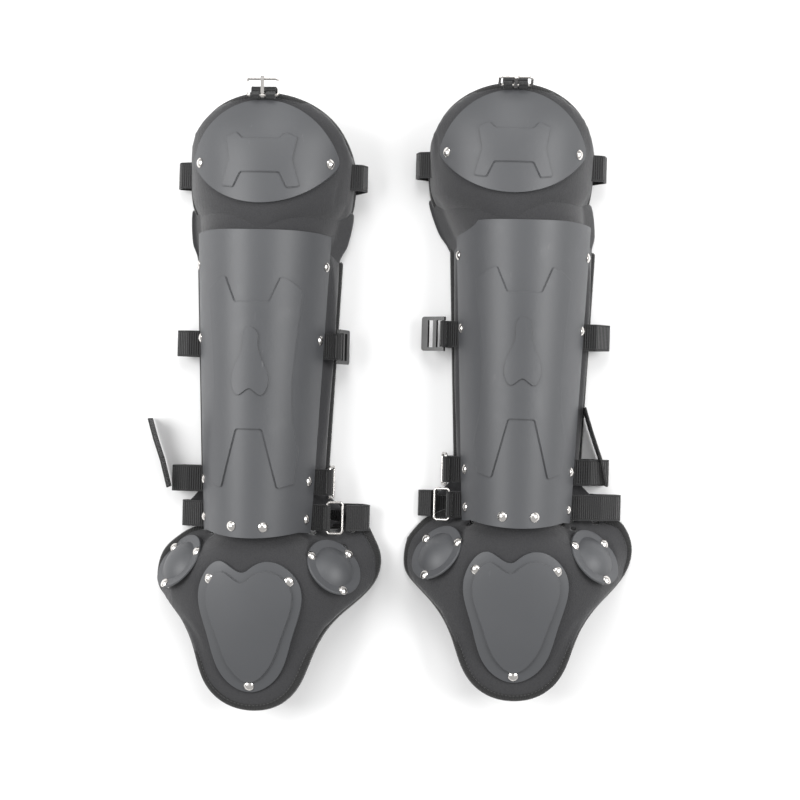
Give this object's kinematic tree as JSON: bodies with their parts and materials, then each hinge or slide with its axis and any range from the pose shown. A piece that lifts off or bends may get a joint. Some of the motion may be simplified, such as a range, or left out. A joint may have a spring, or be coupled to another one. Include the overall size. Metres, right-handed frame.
{
  "type": "leg guards",
  "caption": "Pair of hard-shell leg guards with padded knee, shin and instep sections, leg straps and riveted ankle discs",
  "frame": {"origin": "bottom centre of the bounding box, on the surface the pair lies on", "axes": "+X across the pair, +Y from the toes to the knees, +Z out of the shells"},
  "size_m": [0.468, 0.5948, 0.0983],
  "materials": {
    "shell_plastic": "injection-moulded, satin grained, very dark grey",
    "buckle_plastic": "moulded black acetal",
    "rivet_nickel": "bright nickel plate",
    "wire_nickel": "nickel-plated steel wire",
    "pad_fabric": "knitted cover over closed-cell foam, charcoal",
    "lining_fabric": "brushed nylon lining",
    "webbing": "woven 25 mm webbing, black"
  },
  "bodies": {
    "left_shin": {"left_shin_plate": "shell_plastic", "left_shin_pad": "pad_fabric", "left_shin_lining": "lining_fabric", "left_shin_rivets": "rivet_nickel", "left_calf_strap": "webbing", "left_calf_tab": "webbing", "left_ankle_strap": "webbing", "left_ankle_tab": "webbing", "left_strap_tail": "webbing"},
    "left_knee": {"left_knee_cap": "shell_plastic", "left_knee_pad": "pad_fabric", "left_knee_lining": "lining_fabric", "left_knee_rivets": "rivet_nickel", "left_knee_strap": "webbing", "left_top_tab": "webbing"},
    "left_instep": {"left_instep_plate": "shell_plastic", "left_instep_pad": "pad_fabric", "left_instep_rivets": "rivet_nickel", "left_inner_ankle_disc": "shell_plastic", "left_outer_ankle_disc": "shell_plastic", "left_disc_rivets": "rivet_nickel", "left_instep_strap": "webbing", "left_instep_tab": "webbing"},
    "left_top_buckle_body": {"left_top_buckle": "wire_nickel"},
    "left_top_tongue_body": {"left_top_tongue": "wire_nickel"},
    "left_calf_slide_body": {"left_calf_slide": "buckle_plastic"},
    "left_ankle_buckle_body": {"left_ankle_buckle": "wire_nickel"},
    "left_instep_buckle_body": {"left_instep_buckle": "wire_nickel"},
    "right_shin": {"right_shin_plate": "shell_plastic", "right_shin_pad": "pad_fabric", "right_shin_lining": "lining_fabric", "right_shin_rivets": "rivet_nickel", "right_calf_strap": "webbing", "right_calf_tab": "webbing", "right_ankle_strap": "webbing", "right_ankle_tab": "webbing", "right_strap_tail": "webbing"},
    "right_knee": {"right_knee_cap": "shell_plastic", "right_knee_pad": "pad_fabric", "right_knee_lining": "lining_fabric", "right_knee_rivets": "rivet_nickel", "right_knee_strap": "webbing", "right_top_tab": "webbing"},
    "right_instep": {"right_instep_plate": "shell_plastic", "right_instep_pad": "pad_fabric", "right_instep_rivets": "rivet_nickel", "right_inner_ankle_disc": "shell_plastic", "right_outer_ankle_disc": "shell_plastic", "right_disc_rivets": "rivet_nickel", "right_instep_strap": "webbing", "right_instep_tab": "webbing"},
    "right_top_buckle_body": {"right_top_buckle": "wire_nickel"},
    "right_top_tongue_body": {"right_top_tongue": "wire_nickel"},
    "right_calf_slide_body": {"right_calf_slide": "buckle_plastic"},
    "right_ankle_buckle_body": {"right_ankle_buckle": "wire_nickel"},
    "right_instep_buckle_body": {"right_instep_buckle": "wire_nickel"}
  },
  "joints": [
    {"name": "right_guard_apart", "type": "slide", "parent": "left_shin", "child": "right_shin", "axis": [1, 0, 0], "range_m": [0, 0.1]},
    {"name": "left_knee_fold", "type": "hinge", "parent": "left_shin", "child": "left_knee", "pos_m": [-0.1188, 0.14744, 0.004], "axis": [-0.9997, 0.0262, 0], "range_deg": [0, 45]},
    {"name": "left_instep_fold", "type": "hinge", "parent": "left_shin", "child": "left_instep", "pos_m": [-0.12579, -0.11947, 0.062], "axis": [-0.9997, 0.0262, 0], "range_deg": [0, 35]},
    {"name": "left_top_buckle_hinge", "type": "hinge", "parent": "left_knee", "child": "left_top_buckle_body", "pos_m": [-0.11839, 0.27847, 0.08019], "axis": [0.9959, -0.0261, 0.0872], "range_deg": [-6, 105]},
    {"name": "left_top_tongue_hinge", "type": "hinge", "parent": "left_top_buckle_body", "child": "left_top_tongue_body", "pos_m": [-0.11839, 0.27847, 0.08019], "axis": [0.9959, -0.0261, 0.0872], "range_deg": [0, 45]},
    {"name": "left_calf_slide_hinge", "type": "hinge", "parent": "left_shin", "child": "left_calf_slide_body", "pos_m": [-0.04977, 0.0476, 0.03403], "axis": [-0.0262, -0.9997, 0], "range_deg": [0, 75]},
    {"name": "left_ankle_buckle_hinge", "type": "hinge", "parent": "left_shin", "child": "left_ankle_buckle_body", "pos_m": [-0.05889, -0.08221, 0.03052], "axis": [-0.0262, -0.9997, 0], "range_deg": [0, 90]},
    {"name": "left_instep_buckle_hinge", "type": "hinge", "parent": "left_instep", "child": "left_instep_buckle_body", "pos_m": [-0.0616, -0.11615, 0.03061], "axis": [-0.0262, -0.9997, 0], "range_deg": [0, 80]},
    {"name": "right_knee_fold", "type": "hinge", "parent": "right_shin", "child": "right_knee", "pos_m": [0.1278, 0.15644, 0.004], "axis": [-0.9997, 0.0262, 0], "range_deg": [0, 45]},
    {"name": "right_instep_fold", "type": "hinge", "parent": "right_shin", "child": "right_instep", "pos_m": [0.12081, -0.11047, 0.062], "axis": [-0.9997, 0.0262, 0], "range_deg": [0, 35]},
    {"name": "right_top_buckle_hinge", "type": "hinge", "parent": "right_knee", "child": "right_top_buckle_body", "pos_m": [0.11543, 0.28781, 0.08045], "axis": [0.999, -0.0262, 0.0349], "range_deg": [-65, 40]},
    {"name": "right_top_tongue_hinge", "type": "hinge", "parent": "right_top_buckle_body", "child": "right_top_tongue_body", "pos_m": [0.11543, 0.28781, 0.08045], "axis": [0.999, -0.0262, 0.0349], "range_deg": [0, 45]},
    {"name": "right_calf_slide_hinge", "type": "hinge", "parent": "right_shin", "child": "right_calf_slide_body", "pos_m": [0.05003, 0.06044, 0.02505], "axis": [0.0262, 0.9997, 0], "range_deg": [0, 50]},
    {"name": "right_ankle_buckle_hinge", "type": "hinge", "parent": "right_shin", "child": "right_ankle_buckle_body", "pos_m": [0.05273, -0.06967, 0.02226], "axis": [0.0262, 0.9997, 0], "range_deg": [0, 90]},
    {"name": "right_instep_buckle_hinge", "type": "hinge", "parent": "right_instep", "child": "right_instep_buckle_body", "pos_m": [0.05584, -0.10377, 0.02068], "axis": [0.0262, 0.9997, 0], "range_deg": [0, 80]}
  ]
}
